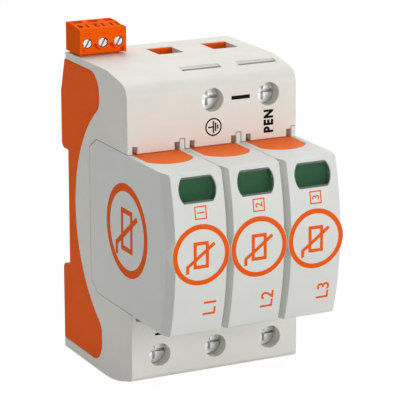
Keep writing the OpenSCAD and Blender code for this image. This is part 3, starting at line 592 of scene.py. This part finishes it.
def plug_print(n):
    """Orange ring and sign on a plug's front, its number in a small frame above and its pole below."""
    lay, body = on_plug_front(n), f"plug_{n}"
    ring_at = (0.0, 0.55 * MM)
    number_at = (0.3 * MM, 12.25 * MM)
    pole_at = (3.3 * MM, -15.3 * MM)
    box_half = 1.65 * MM
    ring = printed_ring(f"front_ring_{n}", orange_ink, radius=8.6 * MM, band=1.4 * MM)
    attach(laid(ring, lay, ring_at), body)
    varistor_sign(f"front_sign_{n}", lay, ring_at, body, size=6.6 * MM, stroke=0.95 * MM)
    number = printed_words(f"front_number_{n}", str(n), orange_ink, cap_height=2.1 * MM, weight=0.04 * MM)
    attach(laid(number, lay, number_at, turn=90), body)
    outline = rectangle(box_half, box_half)
    box = printed_band(f"front_box_{n}", outline, orange_ink, width=0.34 * MM, closed=True)
    attach(laid(box, lay, number_at), body)
    letters = printed_words(f"front_letters_{n}", f"L{n}", orange_ink,
                            cap_height=3.7 * MM, weight=0.06 * MM)
    attach(laid(letters, lay, pole_at, turn=90), body)


def side_print():
    """The same ring and sign, larger, on the first plug's left side."""
    place = (40.8 * MM, 3.4 * MM)
    ring = printed_ring("side_ring", orange_ink, radius=13.6 * MM, band=2.3 * MM)
    attach(laid(ring, on_left_side, place), "plug_1")
    varistor_sign("side_sign", on_left_side, place, "plug_1", size=11 * MM, stroke=1.5 * MM)


def terminal_print():
    """Earth sign, link bar and conductor letters round the terminals."""
    def mark(piece, lay, place, turn=0.0):
        attach(laid(piece, lay, place, turn), "root")

    earth_z = 30.7 * MM
    link_x, link_z, link_half = 8.82 * MM, 38.45 * MM, 2.93 * MM
    upper = flat_face("front_housing", (link_x, -OUTSIDE, earth_z), (link_x, -OUTSIDE, link_z), REARWARD)
    earth_at = (0.15 * MM, 0.0)
    stroke, line_pitch = 0.44 * MM, 0.68 * MM
    line_halves = (1.75 * MM, 1.2 * MM, 0.6 * MM)
    mark(printed_ring("earth_ring", black_ink, radius=2.6 * MM, band=0.42 * MM), upper, earth_at)
    stem = [(-line_halves[0], 0), (-stroke / 2, 0)]
    mark(printed_band("earth_stem", stem, black_ink, stroke), upper, earth_at)
    for i, half in enumerate(line_halves):
        across = line_pitch * i
        ends = [(across, -half), (across, half)]
        mark(printed_band(f"earth_line_{i}", ends, black_ink, stroke), upper, earth_at)
    link = printed_band("link_bar_print", [(-link_half, 0), (link_half, 0)], black_ink, width=1.1 * MM)
    mark(link, upper, (link_x, link_z - earth_z))
    letters = printed_words("conductor_letters", "PEN", black_ink,
                            cap_height=2.7 * MM, weight=0.22 * MM, length=6.7 * MM)
    mark(letters, upper, (17.73 * MM, -0.1 * MM), turn=90)
    for n in POLES:
        place = (middle_x(f"lower_screw_{n}"), -26.1 * MM)
        letters = printed_words(f"line_letters_{n}", f"L{n}", black_ink,
                                cap_height=2.7 * MM, weight=0.14 * MM)
        mark(letters, on_lower_front, place, turn=90)


def signal_print():
    """Contact numbers on the slope of the signalling plug, which are read from behind."""
    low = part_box("signal_plug_body")[0]
    beside = low.x + 0.4 * MM
    front, rear = low.y + 1 * MM, low.y + 5 * MM
    slope = flat_face("signal_plug_body", (beside, front, OUTSIDE), (beside, rear, OUTSIDE), DOWN)
    for n, number, length in zip(WAYS, ("14", "12", "11"), (3.2 * MM, 3.2 * MM, 2.3 * MM)):
        place = (middle_x(f"signal_screw_{n}"), 2.1 * MM)
        figures = printed_words(f"signal_number_{n}", number, figure_brown,
                                cap_height=2.4 * MM, weight=0.1 * MM, length=length)
        attach(laid(figures, slope, place, turn=180), "signal_plug")


# Small pieces of the object


def bar(name, section, left, right, finish):
    """Closed bar along X with the given section in Y and Z."""
    shape = bmesh.new()
    ends = [[shape.verts.new((x, y, z)) for y, z in section] for x in (left, right)]
    shape.faces.new(ends[0])
    shape.faces.new(ends[1][::-1])
    for i in range(len(section)):
        j = (i + 1) % len(section)
        shape.faces.new((ends[0][i], ends[0][j], ends[1][j], ends[1][i]))
    return mesh_piece(name, shape, finish)


def marker_plates():
    """Bare plate in each marker recess, undercut and short of the recess's front wall by a narrow gap."""
    inside_y, probe_step, thickness = -32.5 * MM, 0.5 * MM, 1.1 * MM
    front_gap, play, lip, foot = 1.5 * MM, 0.04 * MM, 0.08 * MM, 0.25 * MM
    for n in UPPER_POLES:
        middle = middle_x(f"upper_screw_{n}")
        first, second = (middle, inside_y, OUTSIDE), (middle, inside_y + probe_step, OUTSIDE)
        lay = flat_face("front_housing", first, second, DOWN)
        centre = lay(middle, 0, thickness / 2)
        up_slope = lay(0, 1, 0) - lay(0, 0, 0)
        left = first_hit("front_housing", centre, LEFT).x + play
        right = first_hit("front_housing", centre, RIGHT).x - play
        rear = (first_hit("front_housing", centre, up_slope) - centre).length - play
        front = front_gap - (first_hit("front_housing", centre, -up_slope) - centre).length
        section = [
            (front, thickness),
            (front, thickness - lip),
            (rear - foot, 0),
            (rear, 0),
            (rear, thickness),
        ]
        # the plate's finish is a grey darkened with painted shade of the recess
        plate = bar(f"marker_plate_{n}", section, left, right, marker_grey_recess_shade)
        attach(laid(plate, lay), "root")


def window_panes():
    """Clear block in each window: the pane's front, led back to just before the flag, with its bevels in an
    opaque grey that paints the shade on them.
    """
    same_plane, flag_gap = 0.01 * MM, 0.15 * MM
    side_facing, front_facing = 0.3, 0.95
    for n in POLES:
        node = f"window_{n}"
        shape = bmesh.new()
        shape.from_mesh(frame["nodes"][node].data)
        bmesh.ops.remove_doubles(shape, verts=shape.verts, dist=MERGE_DISTANCE)
        shape.normal_update()
        outside = max(shape.faces, key=lambda face: -face.normal.y * face.calc_area()).normal.copy()
        for face in shape.faces:
            # faces on the bevels take the second finish, an opaque grey of painted shade
            face.material_index = int(side_facing < face.normal.dot(outside) < front_facing)
        rear = min(vertex.co.dot(outside) for vertex in shape.verts) + same_plane
        stop_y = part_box(f"status_flag_{n}")[0].y - flag_gap
        for vertex in shape.verts:
            if vertex.co.dot(outside) < rear:
                vertex.co -= outside * ((vertex.co.y - stop_y) / outside.y)
        piece = mesh_piece(f"window_pane_{n}", shape, window_clear)
        piece.data.materials.append(window_bevel_shade)
        outward(piece)
        attach(piece, f"plug_{n}")
        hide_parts(node)


def wound_wire(node, body, turns, wire):
    """Round wire of the given radius in place of a CAD spring."""
    low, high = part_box(node)
    height = high.z - low.z
    piece = grown(node + "_wire", coils, {
        "Turns": float(turns),
        "Mean Radius": (high.x - low.x) / 2 - wire,
        "Height": height - 2 * wire,
        "Wire Radius": wire,
        "Finish": spring_steel,
    })
    foot = Vector(((low.x + high.x) / 2, (low.y + high.y) / 2, low.z))
    piece.data.transform(Matrix.Translation(foot + Vector((0, 0, wire))))
    outward(piece)
    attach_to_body(piece, body)
    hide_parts(node)
    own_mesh(piece)


def springs():
    """Foot's spring and the three flag springs."""
    wound_wire("foot_spring", "root", turns=6, wire=0.3 * MM)
    for n in POLES:
        wound_wire(f"flag_spring_{n}", f"plug_{n}", turns=10, wire=0.25 * MM)


# Stage


def camera():
    """Camera at the photograph's own place."""
    data = bpy.data.cameras.new("camera")
    data.lens = CAMERA_LENS
    data.sensor_width = CAMERA_SENSOR
    data.clip_start = 0.01
    data.clip_end = 20
    eye = bpy.data.objects.new("camera", data)
    eye.location = CAMERA_AT
    eye.rotation_euler = (CAMERA_TARGET - CAMERA_AT).to_track_quat("-Z", "Y").to_euler()
    bpy.context.scene.collection.objects.link(eye)
    bpy.context.scene.camera = eye


def soft_lamp(name, place, size, power):
    """Square lamp that looks at the object."""
    data = bpy.data.lights.new(name, "AREA")
    data.size = size
    data.energy = power
    lamp = bpy.data.objects.new(name, data)
    lamp.location = place
    lamp.rotation_euler = (LAMP_TARGET - Vector(place)).to_track_quat("-Z", "Y").to_euler()
    bpy.context.scene.collection.objects.link(lamp)


def seen_rays(tree):
    """1 for rays from the camera and for those by reflection or through glass, otherwise 0."""
    path = tree.nodes.new("ShaderNodeLightPath")
    total = path.outputs["Is Camera Ray"]
    for label in ("Is Glossy Ray", "Is Transmission Ray"):
        add = tree.nodes.new("ShaderNodeMath")
        add.operation = "ADD"
        add.use_clamp = True
        tree.links.new(total, add.inputs[0])
        tree.links.new(path.outputs[label], add.inputs[1])
        total = add.outputs[0]
    return total


def studio():
    """World that looks white and lights softly, and four lamps."""
    world = bpy.data.worlds.new("studio")
    world.use_nodes = True
    tree = world.node_tree
    background = tree.nodes["Background"]
    background.inputs["Color"].default_value = (0.96, 0.98, 1.0, 1)
    background.inputs["Strength"].default_value = 0.31
    white = tree.nodes.new("ShaderNodeBackground")
    white.inputs["Color"].default_value = (1, 1, 1, 1)
    mixed = tree.nodes.new("ShaderNodeMixShader")
    tree.links.new(seen_rays(tree), mixed.inputs["Fac"])
    tree.links.new(background.outputs["Background"], mixed.inputs[1])
    tree.links.new(white.outputs["Background"], mixed.inputs[2])
    tree.links.new(mixed.outputs["Shader"], tree.nodes["World Output"].inputs["Surface"])
    bpy.context.scene.world = world
    soft_lamp("front_lamp", (0.42, -0.90, 0.12), size=0.6, power=5.5)
    soft_lamp("rear_lamp", (0.00, 0.60, 0.86), size=0.9, power=4.4)
    soft_lamp("top_lamp", (0.00, 0.10, 1.05), size=0.9, power=3.0)
    soft_lamp("left_lamp", (-0.72, -0.66, 0.25), size=0.6, power=0.4)


def floor():
    """Pale floor that looks white to the camera and keeps a soft shadow."""
    glow_strength, glow_share = 1.03, 0.95
    shape = bmesh.new()
    level = cad_box[0].z - FLOOR_GAP
    shape.faces.new([shape.verts.new((x, y, level)) for x, y in rectangle(FLOOR_HALF, FLOOR_HALF)])
    material, tree, shader = blank_material("floor_white")
    shader.inputs["Base Color"].default_value = (0.6, 0.6, 0.6, 1)
    shader.inputs["Roughness"].default_value = 0.9
    glow = tree.nodes.new("ShaderNodeEmission")
    glow.inputs["Strength"].default_value = glow_strength
    share = tree.nodes.new("ShaderNodeMath")
    share.operation = "MULTIPLY"
    share.inputs[1].default_value = glow_share
    mixed = tree.nodes.new("ShaderNodeMixShader")
    tree.links.new(seen_rays(tree), share.inputs[0])
    tree.links.new(share.outputs[0], mixed.inputs["Fac"])
    tree.links.new(shader.outputs["BSDF"], mixed.inputs[1])
    tree.links.new(glow.outputs["Emission"], mixed.inputs[2])
    tree.links.new(mixed.outputs["Shader"], tree.nodes["Material Output"].inputs["Surface"])
    mesh_piece("floor", shape, material)


camera()
studio()
floor()
dress_cad_nodes()
for n in POLES:
    plug_print(n)
side_print()
terminal_print()
signal_print()
marker_plates()
window_panes()
springs()

bpy.context.scene.view_settings.view_transform = "Standard"
